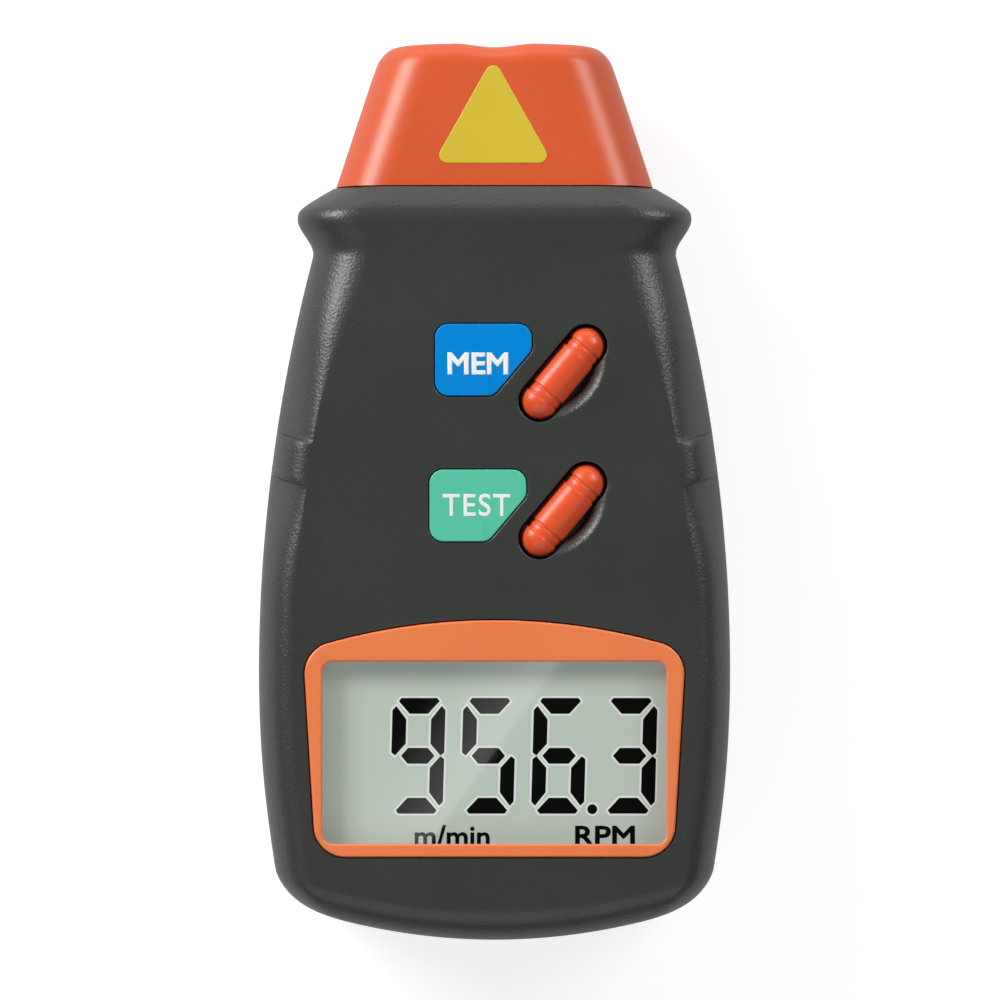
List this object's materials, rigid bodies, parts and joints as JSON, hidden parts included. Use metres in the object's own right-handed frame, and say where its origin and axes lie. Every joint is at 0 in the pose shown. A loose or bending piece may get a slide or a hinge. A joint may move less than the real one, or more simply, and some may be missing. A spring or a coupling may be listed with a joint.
{
  "type": "laser tachometer",
  "caption": "Handheld optical tachometer with a tapered nose for the beam, press keys on the face, a framed digital display and a sliding battery door at the back.",
  "frame": {"origin": "middle of the object's outline, on the surface that its back rests on", "axes": "+Z out of the display face, +Y towards the nose, +X to the right when the display is read"},
  "size_m": [0.069, 0.131, 0.0289],
  "materials": {
    "case_grey": "fine moulded grain, satin",
    "nose_orange": "satin",
    "key_orange": "glossy",
    "bezel_orange": "satin",
    "clear_window": "glossy",
    "lens_glass": "polished",
    "lcd": "satin",
    "lcd_white": "matt",
    "plate_blue": "satin",
    "plate_green": "satin",
    "board_green": "solder mask",
    "elastomer": "matt",
    "black_plastic": "matt",
    "ivory_plastic": "matt",
    "silicon_red": "glossy",
    "brass": "turned",
    "steel": "zinc plated",
    "battery_label": "satin",
    "foam": "matt",
    "red_wire": "satin",
    "black_wire": "satin",
    "yellow_wire": "satin"
  },
  "bodies": {
    "case": {"front_shell": "case_grey", "rear_shell": "case_grey", "nose_cap": "nose_orange", "display_bezel": "bezel_orange", "display_window": "clear_window", "laser_window": "clear_window", "laser_lens": "lens_glass", "receiver_lens": "lens_glass", "lcd_panel": "lcd", "lcd_frame": "lcd_white", "contact_strips": "elastomer", "memory_plate": "plate_blue", "test_plate": "plate_green", "main_board": "board_green", "laser_board": "board_green", "receiver_board": "board_green", "memory_switch": "black_plastic", "test_switch": "black_plastic", "controller_chip": "black_plastic", "crystal_can": "steel", "capacitors": "black_plastic", "resistors": "black_plastic", "optics_holder": "black_plastic", "receiver_tube": "black_plastic", "laser_barrel": "brass", "laser_diode": "brass", "photodiode": "silicon_red", "battery": "battery_label", "battery_snap": "black_plastic", "battery_pad": "foam", "red_lead": "red_wire", "black_lead": "black_wire", "laser_leads": "red_wire", "receiver_leads": "yellow_wire", "case_screws": "steel", "board_screws": "steel"},
    "memory_key": {"memory_key": "key_orange", "memory_switch_stem": "ivory_plastic"},
    "test_key": {"test_key": "key_orange", "test_switch_stem": "ivory_plastic"},
    "battery_door": {"battery_door": "case_grey"}
  },
  "joints": [
    {"name": "memory_key_press", "type": "slide", "parent": "case", "child": "memory_key", "axis": [0, 0, -1], "range_m": [0, 0.0005], "stiffness_N_per_m": 400},
    {"name": "test_key_press", "type": "slide", "parent": "case", "child": "test_key", "axis": [0, 0, -1], "range_m": [0, 0.0005], "stiffness_N_per_m": 400},
    {"name": "battery_door_slide", "type": "slide", "parent": "case", "child": "battery_door", "axis": [0, -1, 0], "range_m": [0, 0.05]}
  ]
}
